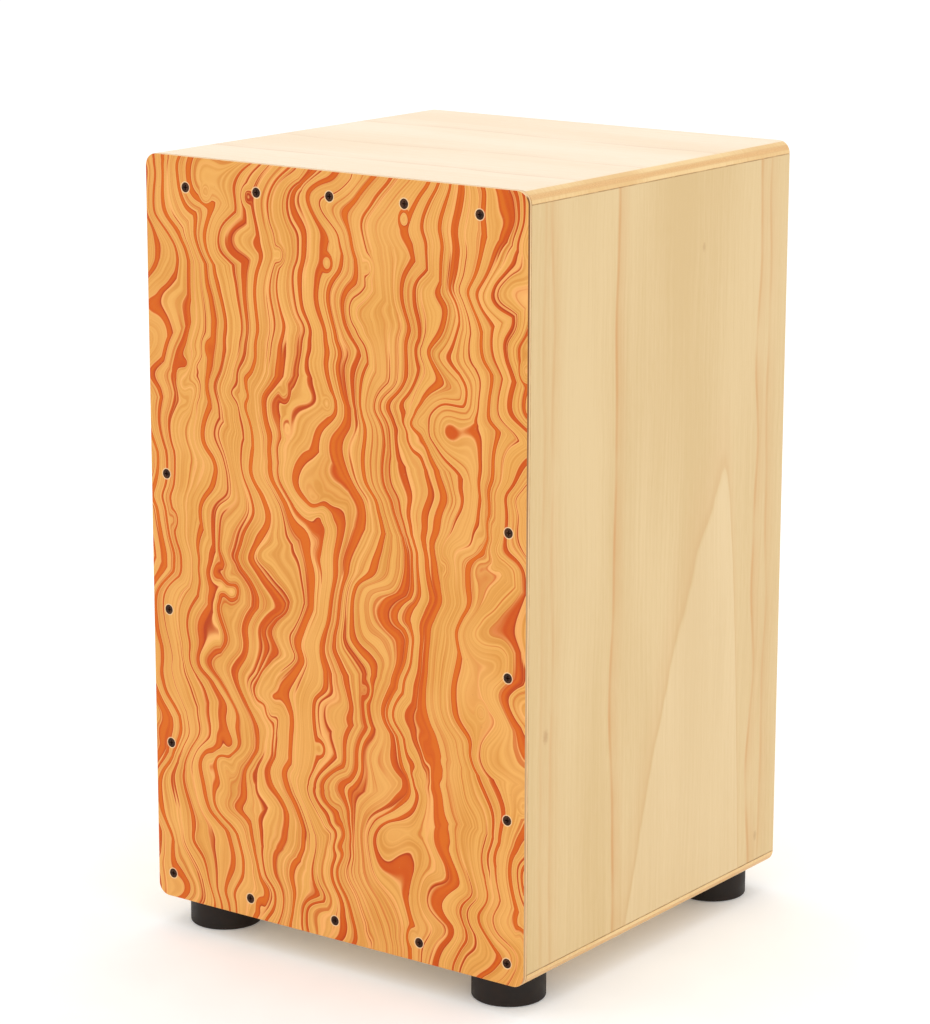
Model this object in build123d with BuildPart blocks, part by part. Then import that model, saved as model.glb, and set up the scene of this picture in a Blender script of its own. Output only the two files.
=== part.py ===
"""Cajon: a box drum of plywood with a burl-veneered striking plate and tunable snares.

Frame: millimetres, +Z up, the striking plate faces -Y, +X to the right seen from the front.
The origin is on the floor, under the middle of the box, so the feet stand on Z = 0.
"""

import os

from build123d import *

# ---------------------------------------------------------------- driving dimensions
BOX_WIDTH = 288.0  # outside, left to right
BOX_DEPTH = 289.0  # front of the striking plate to the back
BOX_HEIGHT = 481.0  # without the feet
PANEL = 8.0  # plywood of the seat, the bottom and the two sides
EDGE_RADIUS = 8.0  # round on the four long edges that run front to back
PLATE = 3.5  # striking plate
BACK_PANEL = 5.0
REAR_ROUND = 1.0  # eased outside edges at the back
JOINT_VEE = 0.4  # shallow vee that shows each glue joint

FRONT_BATTEN = 14.0  # square frame behind the striking plate
BACK_BATTEN = 12.0  # square frame in front of the back panel
CORNER_RAIL = 16.0  # legs of the triangular rails in the long corners

SOUND_HOLE_RADIUS = 59.0
SOUND_HOLE_ROUND = 1.0

FOOT_RADIUS = 23.0
FOOT_HEIGHT = 19.0
FOOT_ROUND = 1.2
FOOT_X = 112.5  # foot centres, either side of the middle
FOOT_Y_FRONT = -115.0
FOOT_Y_REAR = 117.0

# Striking-plate screws: across from the middle, and in from the nearest plate edge.
TOP_SCREWS = ((-112.0, 19.0), (-56.0, 17.5), (0.0, 15.0), (55.5, 14.5), (110.0, 16.0))
BOTTOM_SCREWS = ((-131.8, 16.0), (-67.5, 12.5), (0.5, 12.5), (66.0, 12.5), (131.8, 14.0))
SIDE_SCREW_INSET = 12.6
SIDE_SCREW_HEIGHTS = (104.0, 192.0, 280.0)  # above the underside of the box

# Snare tuners: one bolt each side, turned with a hex key from below.
TUNER_X = 48.0
TUNER_Y = -112.0
GUIDE_PIN_Y = -101.0
BOLT_RADIUS = 3.0
BOLT_END = 87.0  # height of the bolt's upper end
RAIL_TOP = 47.0
RUNNING_CLEARANCE = 0.05

# Snare strands: four a side, fanned out upwards just behind the striking plate.
STRANDS = 4
STRAND_RADIUS = 1.0
STRAND_LOW_PITCH = 6.0
STRAND_HIGH_PITCH = 24.0
FAN_TOP_X = 64.0  # middle of each fan at its upper end
STRAND_GAP = 0.25  # between a strand and the striking plate
LUG = 1.5  # sheet steel that the strands hook into

# ---------------------------------------------------------------- derived planes
HALF_WIDTH = BOX_WIDTH / 2
HALF_INSIDE = HALF_WIDTH - PANEL
FRONT = -BOX_DEPTH / 2
REAR = BOX_DEPTH / 2
BOX_FRONT = FRONT + PLATE  # where the striking plate meets the box
BASE = FOOT_HEIGHT
TOP = BASE + BOX_HEIGHT
FLOOR_INSIDE = BASE + PANEL
CEILING = TOP - PANEL
BATTEN_REAR = BOX_FRONT + FRONT_BATTEN
BACK_FACE = REAR - BACK_PANEL  # inner face of the back panel
BACK_BATTEN_FRONT = BACK_FACE - BACK_BATTEN
MIDDLE_HEIGHT = BASE + BOX_HEIGHT / 2
SIDES = {"left": -1, "right": 1}

STRAND_Y = BOX_FRONT + STRAND_GAP + STRAND_RADIUS
STRAND_LOW = 78.0
STRAND_HIGH = 464.0

os.makedirs("parts", exist_ok=True)


def save(builder, name):
    """Labels a finished piece and writes it to its own STEP file."""
    builder.part.label = name
    export_step(builder.part, f"parts/{name}.step")


def spread(count, pitch):
    """Evenly spaced offsets either side of zero."""
    return [(index - (count - 1) / 2) * pitch for index in range(count)]


def front_plane(y):
    """An upright plane at depth y: its own x runs with X, its own y runs with Z."""
    return Plane.XZ.offset(-y)


def block_between(low, high):
    """Adds a plain block to the current part, from its low corner to its high corner."""
    size = [b - a for a, b in zip(low, high)]
    with Locations(low):
        Box(*size, align=(Align.MIN, Align.MIN, Align.MIN))


# ---------------------------------------------------------------- striking-plate screws
SCREW_HEAD_RADIUS = 3.0
SCREW_SHANK_RADIUS = 1.5
SCREW_LENGTH = 16.0
SCREW_SINK = 0.2  # how far the head lies below the face of the plate
SEAT_CLEARANCE = 0.1


def wood_screw_shape(extra):
    """A countersunk wood screw that points along +Y from the origin, grown by extra."""
    head = SCREW_HEAD_RADIUS + extra
    shank = SCREW_SHANK_RADIUS + extra
    rim = 0.35
    cone_end = rim + SCREW_HEAD_RADIUS - SCREW_SHANK_RADIUS
    with BuildPart() as shape:
        with BuildSketch(Plane.XY):
            with BuildLine():
                Polyline(
                    (0, 0),
                    (head, 0),
                    (head, rim),
                    (shank, cone_end),
                    (shank, SCREW_LENGTH - 4 + extra),
                    (0, SCREW_LENGTH + extra),
                    close=True,
                )
            make_face()
        revolve(axis=Axis.Y)
    return shape.part


with BuildPart() as wood_screw:
    add(wood_screw_shape(0))
    for recess_width, recess_height in ((3.2, 0.8), (0.8, 3.2)):
        Box(recess_width, 2.4, recess_height, mode=Mode.SUBTRACT)

with BuildPart() as screw_seat:
    add(wood_screw_shape(SEAT_CLEARANCE))
    # carries the seat out through the face of the plate
    with Locations((0, -1, 0)):
        Cylinder(SCREW_HEAD_RADIUS + SEAT_CLEARANCE, 2, rotation=(90, 0, 0))

head_y = FRONT + SCREW_SINK
side_heights = [BASE + height for height in SIDE_SCREW_HEIGHTS]
screw_places = {
    "top": [(x, head_y, TOP - inset) for x, inset in TOP_SCREWS],
    "bottom": [(x, head_y, BASE + inset) for x, inset in BOTTOM_SCREWS],
}
for side, sign in SIDES.items():
    screw_x = sign * (HALF_WIDTH - SIDE_SCREW_INSET)
    screw_places[side] = [(screw_x, head_y, height) for height in side_heights]
every_screw = [place for places in screw_places.values() for place in places]

for row, places in screw_places.items():
    with BuildPart() as plate_screws:
        with Locations(*places):
            add(wood_screw.part)
    save(plate_screws, f"plate_screws_{row}")

# ---------------------------------------------------------------- striking plate
with BuildPart() as striking_plate:
    with BuildSketch(front_plane(FRONT)):
        with Locations((0, MIDDLE_HEIGHT)):
            RectangleRounded(BOX_WIDTH, BOX_HEIGHT, EDGE_RADIUS)
    extrude(amount=-PLATE)
    fillet(striking_plate.faces().sort_by(Axis.Y)[0].outer_wire().edges(), 0.7)
    chamfer(striking_plate.faces().sort_by(Axis.Y)[-1].outer_wire().edges(), JOINT_VEE)
    with Locations(*every_screw):
        add(screw_seat.part, mode=Mode.SUBTRACT)
save(striking_plate, "striking_plate")


# ---------------------------------------------------------------- box panels
def slab(flat_z, round_z):
    """The seat or the bottom: flat inside, rounded along both sides outside."""
    bow = EDGE_RADIUS if round_z < flat_z else -EDGE_RADIUS
    with BuildPart() as shape:
        with BuildSketch(front_plane(BOX_FRONT)):
            with BuildLine():
                Line((-HALF_WIDTH, flat_z), (HALF_WIDTH, flat_z))
                RadiusArc((HALF_WIDTH, flat_z), (HALF_INSIDE, round_z), bow)
                Line((HALF_INSIDE, round_z), (-HALF_INSIDE, round_z))
                RadiusArc((-HALF_INSIDE, round_z), (-HALF_WIDTH, flat_z), bow)
            make_face()
        extrude(amount=BOX_FRONT - REAR)
        rear_edges = shape.edges().filter_by(Axis.X).group_by(Axis.Y)[-1]
        rounded = [edge for edge in rear_edges if abs(edge.center().Z - round_z) < 0.1]
        fillet(rounded, REAR_ROUND)
    return shape.part


foot_places = {
    "front_left": (-FOOT_X, FOOT_Y_FRONT),
    "front_right": (FOOT_X, FOOT_Y_FRONT),
    "rear_left": (-FOOT_X, FOOT_Y_REAR),
    "rear_right": (FOOT_X, FOOT_Y_REAR),
}
FOOT_SCREW_RADIUS = 2.0
FOOT_SCREW_TIP = 25.5
tuner_places = [(sign * TUNER_X, TUNER_Y) for sign in SIDES.values()]
KEY_HOLE_RADIUS = 6.3  # in the bottom panel, round each bolt head

with BuildPart() as seat_panel:
    add(slab(CEILING, TOP))
save(seat_panel, "seat_panel")

with BuildPart() as bottom_panel:
    add(slab(FLOOR_INSIDE, BASE))
    with BuildSketch(Plane.XY.offset(BASE)):
        with Locations(*tuner_places):
            Circle(KEY_HOLE_RADIUS)
    extrude(amount=PANEL, mode=Mode.SUBTRACT)
    with BuildSketch(Plane.XY.offset(BASE)):
        with Locations(*foot_places.values()):
            Circle(FOOT_SCREW_RADIUS + RUNNING_CLEARANCE)
    extrude(amount=FOOT_SCREW_TIP - BASE + 0.5, mode=Mode.SUBTRACT)
save(bottom_panel, "bottom_panel")

for side, sign in SIDES.items():
    with BuildPart() as side_panel:
        inner_x = sign * HALF_INSIDE
        outer_x = sign * HALF_WIDTH
        block_between(
            (min(inner_x, outer_x), BOX_FRONT, FLOOR_INSIDE),
            (max(inner_x, outer_x), REAR, CEILING),
        )
        outside = side_panel.faces().sort_by(Axis.X)[-1 if sign > 0 else 0]
        fillet(outside.edges().filter_by(Axis.Z).sort_by(Axis.Y)[-1], REAR_ROUND)
        outside = side_panel.faces().sort_by(Axis.X)[-1 if sign > 0 else 0]
        chamfer(outside.edges().filter_by(Axis.Y), JOINT_VEE)
        outside = side_panel.faces().sort_by(Axis.X)[-1 if sign > 0 else 0]
        chamfer(outside.edges().filter_by(Axis.Z).sort_by(Axis.Y)[0], JOINT_VEE)
    save(side_panel, f"{side}_side_panel")

with BuildPart() as back_panel:
    with BuildSketch(front_plane(BACK_FACE)):
        with Locations((0, MIDDLE_HEIGHT)):
            Rectangle(2 * HALF_INSIDE, CEILING - FLOOR_INSIDE)
            Circle(SOUND_HOLE_RADIUS, mode=Mode.SUBTRACT)
    extrude(amount=-BACK_PANEL)
    fillet(back_panel.edges().filter_by(GeomType.CIRCLE), SOUND_HOLE_ROUND)
save(back_panel, "back_panel")


# ---------------------------------------------------------------- battens and rails
def screw_pilots():
    """Cuts the holes of the plate screws out of the current part."""
    with Locations(*every_screw):
        add(screw_seat.part, mode=Mode.SUBTRACT)


with BuildPart() as front_batten_top:
    block_between(
        (-HALF_INSIDE, BOX_FRONT, CEILING - FRONT_BATTEN),
        (HALF_INSIDE, BATTEN_REAR, CEILING),
    )
    screw_pilots()
    anchor_screw_places = [
        (sign * FAN_TOP_X + offset, BOX_FRONT + 7.5)
        for sign in SIDES.values()
        for offset in (-24.0, 24.0)
    ]
    ANCHOR_SCREW_RADIUS = 1.5
    ANCHOR_SCREW_TIP = CEILING - FRONT_BATTEN + 9
    with BuildSketch(Plane.XY.offset(CEILING - FRONT_BATTEN)):
        with Locations(*anchor_screw_places):
            Circle(ANCHOR_SCREW_RADIUS + RUNNING_CLEARANCE)
    extrude(amount=9.5, mode=Mode.SUBTRACT)
save(front_batten_top, "front_batten_top")

with BuildPart() as front_batten_bottom:
    block_between(
        (-HALF_INSIDE, BOX_FRONT, FLOOR_INSIDE),
        (HALF_INSIDE, BATTEN_REAR, FLOOR_INSIDE + FRONT_BATTEN),
    )
    screw_pilots()
save(front_batten_bottom, "front_batten_bottom")

for side, sign in SIDES.items():
    with BuildPart() as front_batten_side:
        ends = sorted((sign * HALF_INSIDE, sign * (HALF_INSIDE - FRONT_BATTEN)))
        block_between(
            (ends[0], BOX_FRONT, FLOOR_INSIDE + FRONT_BATTEN),
            (ends[1], BATTEN_REAR, CEILING - FRONT_BATTEN),
        )
        screw_pilots()
    save(front_batten_side, f"front_batten_{side}")

for level, low_z in (("top", CEILING - BACK_BATTEN), ("bottom", FLOOR_INSIDE)):
    with BuildPart() as back_batten_level:
        block_between(
            (-HALF_INSIDE, BACK_BATTEN_FRONT, low_z),
            (HALF_INSIDE, BACK_FACE, low_z + BACK_BATTEN),
        )
    save(back_batten_level, f"back_batten_{level}")

for side, sign in SIDES.items():
    with BuildPart() as back_batten_side:
        ends = sorted((sign * HALF_INSIDE, sign * (HALF_INSIDE - BACK_BATTEN)))
        block_between(
            (ends[0], BACK_BATTEN_FRONT, FLOOR_INSIDE + BACK_BATTEN),
            (ends[1], BACK_FACE, CEILING - BACK_BATTEN),
        )
    save(back_batten_side, f"back_batten_{side}")

for level, corner_z, inward in (("top", CEILING, -1), ("bottom", FLOOR_INSIDE, 1)):
    for side, sign in SIDES.items():
        with BuildPart() as corner_rail:
            with BuildSketch(front_plane(BATTEN_REAR)):
                with BuildLine():
                    Polyline(
                        (sign * HALF_INSIDE, corner_z),
                        (sign * (HALF_INSIDE - CORNER_RAIL), corner_z),
                        (sign * HALF_INSIDE, corner_z + inward * CORNER_RAIL),
                        close=True,
                    )
                make_face()
            extrude(amount=-(BACK_BATTEN_FRONT - BATTEN_REAR))
        save(corner_rail, f"corner_rail_{level}_{side}")

# ---------------------------------------------------------------- feet
FOOT_RECESS_RADIUS = 10.0
FOOT_RECESS = 9.0
WASHER_RADIUS = 8.5
WASHER = 1.2
PAN_HEAD_RADIUS = 4.0
PAN_HEAD = 2.6

for place, centre in foot_places.items():
    with BuildPart(Plane(origin=(*centre, 0))) as foot:
        Cylinder(FOOT_RADIUS, FOOT_HEIGHT, align=(Align.CENTER, Align.CENTER, Align.MIN))
        fillet(foot.edges().filter_by(GeomType.CIRCLE).sort_by(Axis.Z)[0], FOOT_ROUND)
        fillet(foot.edges().filter_by(GeomType.CIRCLE).sort_by(Axis.Z)[-1], FOOT_ROUND / 2)
        Cylinder(
            FOOT_RECESS_RADIUS,
            FOOT_RECESS,
            align=(Align.CENTER, Align.CENTER, Align.MIN),
            mode=Mode.SUBTRACT,
        )
        Cylinder(
            FOOT_SCREW_RADIUS + RUNNING_CLEARANCE,
            FOOT_HEIGHT,
            align=(Align.CENTER, Align.CENTER, Align.MIN),
            mode=Mode.SUBTRACT,
        )
    save(foot, f"foot_{place}")

with BuildPart() as foot_washers:
    with BuildSketch(Plane.XY.offset(FOOT_RECESS - WASHER)):
        with Locations(*foot_places.values()):
            Circle(WASHER_RADIUS)
            Circle(FOOT_SCREW_RADIUS + RUNNING_CLEARANCE, mode=Mode.SUBTRACT)
    extrude(amount=WASHER)
save(foot_washers, "foot_washers")

head_top = FOOT_RECESS - WASHER
with BuildPart() as foot_screw:
    with BuildSketch(Plane.XZ):
        with BuildLine():
            Polyline(
                (0, head_top - PAN_HEAD),
                (PAN_HEAD_RADIUS - 1, head_top - PAN_HEAD),
                (PAN_HEAD_RADIUS, head_top - PAN_HEAD + 1),
                (PAN_HEAD_RADIUS, head_top),
                (FOOT_SCREW_RADIUS, head_top),
                (FOOT_SCREW_RADIUS, FOOT_SCREW_TIP - 3),
                (0, FOOT_SCREW_TIP),
                close=True,
            )
        make_face()
    revolve(axis=Axis.Z)
    with Locations((0, 0, head_top - PAN_HEAD)):
        Box(4.4, 1.0, 3.0, mode=Mode.SUBTRACT)
        Box(1.0, 4.4, 3.0, mode=Mode.SUBTRACT)

with BuildPart() as foot_screws:
    with Locations(*foot_places.values()):
        add(foot_screw.part)
save(foot_screws, "foot_screws")

# ---------------------------------------------------------------- snare tuners
RAIL_HALF_LENGTH = 76.0
RAIL_REAR = -92.0
BUSH_RADIUS = 4.5
BUSH_FLANGE_RADIUS = 6.0
BUSH_FLANGE = 1.5
GUIDE_PIN_RADIUS = 2.0
GUIDE_PIN_LOW = 33.0
GUIDE_PIN_HIGH = 86.0
guide_pin_places = [(sign * TUNER_X, GUIDE_PIN_Y) for sign in SIDES.values()]

with BuildPart() as tuner_rail:
    block_between(
        (-RAIL_HALF_LENGTH, BATTEN_REAR, FLOOR_INSIDE),
        (RAIL_HALF_LENGTH, RAIL_REAR, RAIL_TOP),
    )
    with BuildSketch(Plane.XY.offset(FLOOR_INSIDE)):
        with Locations(*tuner_places):
            Circle(BUSH_RADIUS + RUNNING_CLEARANCE)
    extrude(amount=RAIL_TOP - FLOOR_INSIDE, mode=Mode.SUBTRACT)
    with BuildSketch(Plane.XY.offset(RAIL_TOP)):
        with Locations(*guide_pin_places):
            Circle(GUIDE_PIN_RADIUS + RUNNING_CLEARANCE)
    extrude(amount=GUIDE_PIN_LOW - RAIL_TOP, mode=Mode.SUBTRACT)
    chamfer(tuner_rail.edges().filter_by(Axis.X).sort_by(Axis.Z)[-2:].sort_by(Axis.Y)[-1], 2)
save(tuner_rail, "tuner_rail")

BOLT_HEAD_RADIUS = 5.0
BOLT_HEAD = 6.0
END_PLAY = 0.1
HEX_KEY_FLATS = 5.0
flange_low = FLOOR_INSIDE - BUSH_FLANGE
bolt_head_top = flange_low - END_PLAY
LOCK_NUT_FLATS = 10.0
LOCK_NUT = 5.0
lock_nut_low = RAIL_TOP + END_PLAY

# The carriage rides on the bolt's thread and on the guide pin.
CARRIAGE_LOW = 62.0
CARRIAGE_HEIGHT = 10.0
CARRIAGE_HALF_WIDTH = 7.0
CARRIAGE_FRONT = -119.0
CARRIAGE_REAR = -96.0
ARM_HALF_WIDTH = 14.0
HOOK_HOLE_RADIUS = 1.1
HOOK_HOLE_DROP = 3.5  # from the lug's edge to the middle of each hole
lug_front = STRAND_Y - LUG / 2
lug_rear = STRAND_Y + LUG / 2

for side, sign in SIDES.items():
    axis_place = (sign * TUNER_X, TUNER_Y)

    with BuildPart() as tuner_bush:
        with BuildSketch(Plane.XY.offset(flange_low)):
            with Locations(axis_place):
                Circle(BUSH_FLANGE_RADIUS)
        extrude(amount=BUSH_FLANGE)
        with BuildSketch(Plane.XY.offset(FLOOR_INSIDE)):
            with Locations(axis_place):
                Circle(BUSH_RADIUS)
        extrude(amount=RAIL_TOP - FLOOR_INSIDE)
        with BuildSketch(Plane.XY.offset(flange_low)):
            with Locations(axis_place):
                Circle(BOLT_RADIUS + RUNNING_CLEARANCE)
        extrude(amount=RAIL_TOP - flange_low, mode=Mode.SUBTRACT)
    save(tuner_bush, f"tuner_bush_{side}")

    with BuildPart() as tuner_bolt:
        with BuildSketch(Plane.XY.offset(bolt_head_top)):
            with Locations(axis_place):
                Circle(BOLT_HEAD_RADIUS)
        extrude(amount=-BOLT_HEAD)
        fillet(tuner_bolt.edges().filter_by(GeomType.CIRCLE).sort_by(Axis.Z)[0], 0.6)
        with BuildSketch(Plane.XY.offset(bolt_head_top)):
            with Locations(axis_place):
                Circle(BOLT_RADIUS)
        extrude(amount=BOLT_END - bolt_head_top)
        chamfer(tuner_bolt.edges().filter_by(GeomType.CIRCLE).sort_by(Axis.Z)[-1], 0.6)
        with BuildSketch(Plane.XY.offset(bolt_head_top - BOLT_HEAD)):
            with Locations(axis_place):
                RegularPolygon(HEX_KEY_FLATS / 2, 6, major_radius=False)
        extrude(amount=3.0, mode=Mode.SUBTRACT)
    save(tuner_bolt, f"tuner_bolt_{side}")

    with BuildPart() as lock_nut:
        with BuildSketch(Plane.XY.offset(lock_nut_low)):
            with Locations(axis_place):
                RegularPolygon(LOCK_NUT_FLATS / 2, 6, major_radius=False)
                Circle(BOLT_RADIUS, mode=Mode.SUBTRACT)
        extrude(amount=LOCK_NUT)
    save(lock_nut, f"lock_nut_{side}")

    with BuildPart() as guide_pin:
        with BuildSketch(Plane.XY.offset(GUIDE_PIN_LOW)):
            with Locations((sign * TUNER_X, GUIDE_PIN_Y)):
                Circle(GUIDE_PIN_RADIUS)
        extrude(amount=GUIDE_PIN_HIGH - GUIDE_PIN_LOW)
        chamfer(guide_pin.edges().filter_by(GeomType.CIRCLE).sort_by(Axis.Z)[-1], 0.5)
    save(guide_pin, f"guide_pin_{side}")

    with BuildPart() as snare_carriage:
        x = sign * TUNER_X
        block_between(
            (x - CARRIAGE_HALF_WIDTH, CARRIAGE_FRONT, CARRIAGE_LOW),
            (x + CARRIAGE_HALF_WIDTH, CARRIAGE_REAR, CARRIAGE_LOW + CARRIAGE_HEIGHT),
        )
        fillet(snare_carriage.edges().filter_by(Axis.Z), 1.5)
        block_between(
            (x - ARM_HALF_WIDTH, lug_front, CARRIAGE_LOW),
            (x + ARM_HALF_WIDTH, CARRIAGE_FRONT + 2, CARRIAGE_LOW + LUG),
        )
        block_between(
            (x - ARM_HALF_WIDTH, lug_front, CARRIAGE_LOW),
            (x + ARM_HALF_WIDTH, lug_rear, STRAND_LOW),
        )
        with BuildSketch(Plane.XY.offset(CARRIAGE_LOW)):
            with Locations(axis_place):
                Circle(BOLT_RADIUS + RUNNING_CLEARANCE)
            with Locations((x, GUIDE_PIN_Y)):
                Circle(GUIDE_PIN_RADIUS + RUNNING_CLEARANCE)
        extrude(amount=CARRIAGE_HEIGHT, mode=Mode.SUBTRACT)
        with BuildSketch(front_plane(lug_front)):
            for offset in spread(STRANDS, STRAND_LOW_PITCH):
                with Locations((x + offset, STRAND_LOW - HOOK_HOLE_DROP)):
                    Circle(HOOK_HOLE_RADIUS)
        extrude(amount=-LUG, mode=Mode.SUBTRACT)
    save(snare_carriage, f"snare_carriage_{side}")

# ---------------------------------------------------------------- snare anchors
ANCHOR_HALF_WIDTH = 44.0
ANCHOR_REAR = BOX_FRONT + 12.5

for side, sign in SIDES.items():
    x = sign * FAN_TOP_X
    with BuildPart() as snare_anchor:
        block_between(
            (x - ANCHOR_HALF_WIDTH, lug_front, CEILING - FRONT_BATTEN - LUG),
            (x + ANCHOR_HALF_WIDTH, ANCHOR_REAR, CEILING - FRONT_BATTEN),
        )
        block_between(
            (x - ANCHOR_HALF_WIDTH, lug_front, STRAND_HIGH),
            (x + ANCHOR_HALF_WIDTH, lug_rear, CEILING - FRONT_BATTEN),
        )
        with BuildSketch(front_plane(lug_front)):
            for offset in spread(STRANDS, STRAND_HIGH_PITCH):
                with Locations((x + offset, STRAND_HIGH + HOOK_HOLE_DROP)):
                    Circle(HOOK_HOLE_RADIUS)
        extrude(amount=-LUG, mode=Mode.SUBTRACT)
        with BuildSketch(Plane.XY.offset(CEILING - FRONT_BATTEN)):
            with Locations(*anchor_screw_places):
                Circle(ANCHOR_SCREW_RADIUS + RUNNING_CLEARANCE)
        extrude(amount=-LUG, mode=Mode.SUBTRACT)
    save(snare_anchor, f"snare_anchor_{side}")

ANCHOR_HEAD_RADIUS = 3.0
ANCHOR_HEAD = 2.0
anchor_head_top = CEILING - FRONT_BATTEN - LUG
with BuildPart() as anchor_screws:
    with BuildSketch(Plane.XY.offset(anchor_head_top)):
        with Locations(*anchor_screw_places):
            Circle(ANCHOR_HEAD_RADIUS)
    extrude(amount=-ANCHOR_HEAD)
    fillet(anchor_screws.edges().filter_by(GeomType.CIRCLE).group_by(Axis.Z)[0], 0.8)
    with BuildSketch(Plane.XY.offset(anchor_head_top)):
        with Locations(*anchor_screw_places):
            Circle(ANCHOR_SCREW_RADIUS)
    extrude(amount=ANCHOR_SCREW_TIP - anchor_head_top)
save(anchor_screws, "anchor_screws")

# ---------------------------------------------------------------- snare strands
strand_rise = STRAND_HIGH - STRAND_LOW
for side, sign in SIDES.items():
    with BuildPart() as snare_strands:
        low_offsets = spread(STRANDS, STRAND_LOW_PITCH)
        high_offsets = spread(STRANDS, STRAND_HIGH_PITCH)
        for low_offset, high_offset in zip(low_offsets, high_offsets):
            low_x = sign * TUNER_X + low_offset
            high_x = sign * FAN_TOP_X + high_offset
            lean = Vector(high_x - low_x, 0, strand_rise)
            with BuildSketch(Plane.XY.offset(STRAND_LOW)):
                with Locations((low_x, STRAND_Y)):
                    Circle(STRAND_RADIUS)
            extrude(amount=lean.length, dir=lean.normalized())
    save(snare_strands, f"snare_strands_{side}")
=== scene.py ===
"""Looks for the cajon: a box drum with a marbled burl striking plate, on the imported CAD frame."""

import math

import bpy
from mathutils import Matrix, Vector


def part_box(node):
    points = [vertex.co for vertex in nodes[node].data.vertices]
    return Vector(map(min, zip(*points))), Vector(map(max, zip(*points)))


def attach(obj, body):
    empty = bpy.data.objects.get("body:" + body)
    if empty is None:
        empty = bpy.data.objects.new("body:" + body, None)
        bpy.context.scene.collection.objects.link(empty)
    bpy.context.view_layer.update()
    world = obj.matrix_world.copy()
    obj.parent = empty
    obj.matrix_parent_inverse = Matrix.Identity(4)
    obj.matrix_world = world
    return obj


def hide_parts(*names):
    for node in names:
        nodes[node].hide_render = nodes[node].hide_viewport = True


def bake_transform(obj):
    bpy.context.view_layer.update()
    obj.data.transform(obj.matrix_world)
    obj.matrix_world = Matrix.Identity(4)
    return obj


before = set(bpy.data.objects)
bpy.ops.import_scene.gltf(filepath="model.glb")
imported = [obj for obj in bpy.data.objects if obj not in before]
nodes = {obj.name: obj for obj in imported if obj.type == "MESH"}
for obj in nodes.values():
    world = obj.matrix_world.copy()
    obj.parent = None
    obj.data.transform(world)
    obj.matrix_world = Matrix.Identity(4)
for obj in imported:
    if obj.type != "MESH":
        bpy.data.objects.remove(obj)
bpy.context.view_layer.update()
scene = bpy.context.scene


def span(node, axis):
    """Where a CAD node starts and ends along x, y or z, in millimetres."""
    index = "xyz".index(axis)
    return tuple(round(corner[index] * 1000, 1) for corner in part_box(node))


# The drum in millimetres, which is what the materials work in. Z is up from the floor.
HALF_WIDTH = span("right_side_panel", "x")[1]
PLATE_FRONT, PLATE_BACK = span("striking_plate", "y")
BACK_INSIDE, BACK_OUTSIDE = span("back_panel", "y")
BOX_BOTTOM, BOTTOM_INSIDE = span("bottom_panel", "z")
SEAT_INSIDE, BOX_TOP = span("seat_panel", "z")
BOX_MIDDLE = (BOX_BOTTOM + BOX_TOP) / 2
PANEL = BOX_TOP - SEAT_INSIDE

# What the pieces' names are made of, with the sign that each side's x has.
SIDES = (("left", -1), ("right", 1))
LEFT_RIGHT = ("left", "right")
TOP_BOTTOM = ("top", "bottom")
FRONT_BACK = ("front", "back")


# ---------------------------------------------------------------- material building


def rgb(red, green, blue):
    """An sRGB colour from 0 to 255 as the linear colour that a shader takes."""

    def linear(value):
        value /= 255
        return value / 12.92 if value <= 0.04045 else ((value + 0.055) / 1.055) ** 2.4

    return linear(red), linear(green), linear(blue), 1.0


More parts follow.
